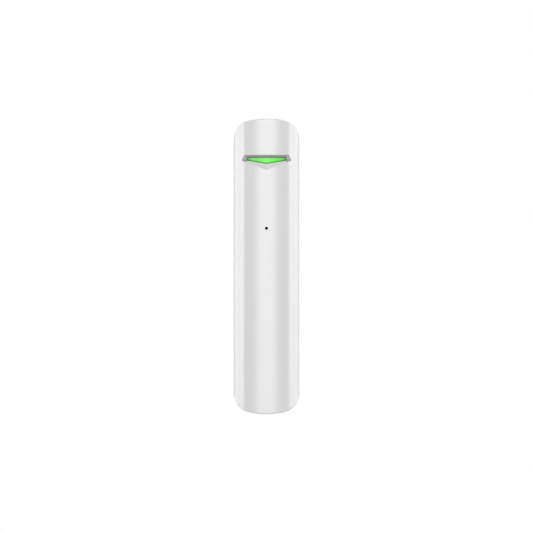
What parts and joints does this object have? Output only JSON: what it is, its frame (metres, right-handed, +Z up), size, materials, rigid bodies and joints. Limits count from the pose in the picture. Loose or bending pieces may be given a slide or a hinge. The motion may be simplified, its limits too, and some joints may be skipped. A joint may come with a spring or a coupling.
{
  "type": "glass break sensor",
  "caption": "Slim upright wireless glass break sensor with a round front, a lit V-shaped indicator recess, a small sound hole and a slide-on wall bracket.",
  "frame": {"origin": "middle of the bracket's flat wall face", "axes": "+Y into the wall, -Y out of the wall towards the viewer, +X to the viewer's right, +Z up along the sensor"},
  "size_m": [0.02, 0.0215, 0.09],
  "materials": {
    "case_plastic": "smooth moulded white, satin gloss",
    "cover_plastic": "fine matt moulded white",
    "bracket_plastic": "fine matt moulded white",
    "bezel_plastic": "matt grey",
    "guide_plastic": "clear moulding lit green",
    "board_laminate": "solder mask over glass laminate",
    "led_resin": "clear resin over a white package",
    "nickel_steel": "nickel plated sheet",
    "boot_rubber": "soft black rubber",
    "filter_cloth": "black non-woven disc",
    "chip_resin": "moulded black resin",
    "capacitor_resin": "moulded tantalum block",
    "aerial_brass": "stamped and plated",
    "cell_sleeve": "printed sleeve left plain, bare ends",
    "switch_plastic": "black nylon",
    "button_plastic": "natural white nylon",
    "socket_plastic": "ivory nylon"
  },
  "bodies": {
    "bracket": {"mounting_bracket": "bracket_plastic"},
    "detector": {"antenna": "aerial_brass", "audio_chip": "chip_resin", "battery": "cell_sleeve", "battery_spring": "nickel_steel", "buffer_capacitor": "capacitor_resin", "circuit_board": "board_laminate", "control_chip": "chip_resin", "crystal": "nickel_steel", "dust_filter": "filter_cloth", "front_case": "case_plastic", "indicator_bezel": "bezel_plastic", "light_guide": "guide_plastic", "microphone": "nickel_steel", "microphone_boot": "boot_rubber", "negative_contact": "nickel_steel", "positive_contact": "nickel_steel", "power_switch": "switch_plastic", "radio_chip": "chip_resin", "radio_shield": "nickel_steel", "rear_cover": "cover_plastic", "sensor_socket": "socket_plastic", "socket_pin_left": "nickel_steel", "socket_pin_right": "nickel_steel", "status_led": "led_resin", "tamper_switch": "switch_plastic"},
    "tamper_plunger": {"tamper_button": "button_plastic"},
    "switch_slider": {"power_switch_lever": "button_plastic"}
  },
  "joints": [
    {"name": "detector_slide", "type": "slide", "parent": "bracket", "child": "detector", "axis": [0, 0, 1], "range_m": [0, 0.004]},
    {"name": "tamper_press", "type": "slide", "parent": "detector", "child": "tamper_plunger", "axis": [0, 1, 0], "range_m": [0, 0.0006], "stiffness_N_per_m": 50, "springref_m": 0.003},
    {"name": "power_slide", "type": "slide", "parent": "detector", "child": "switch_slider", "axis": [1, 0, 0], "range_m": [0, 0.002]}
  ],
  "couplings": [
    {"joint": "tamper_press", "follows": "detector_slide", "ratio": 0.15}
  ]
}
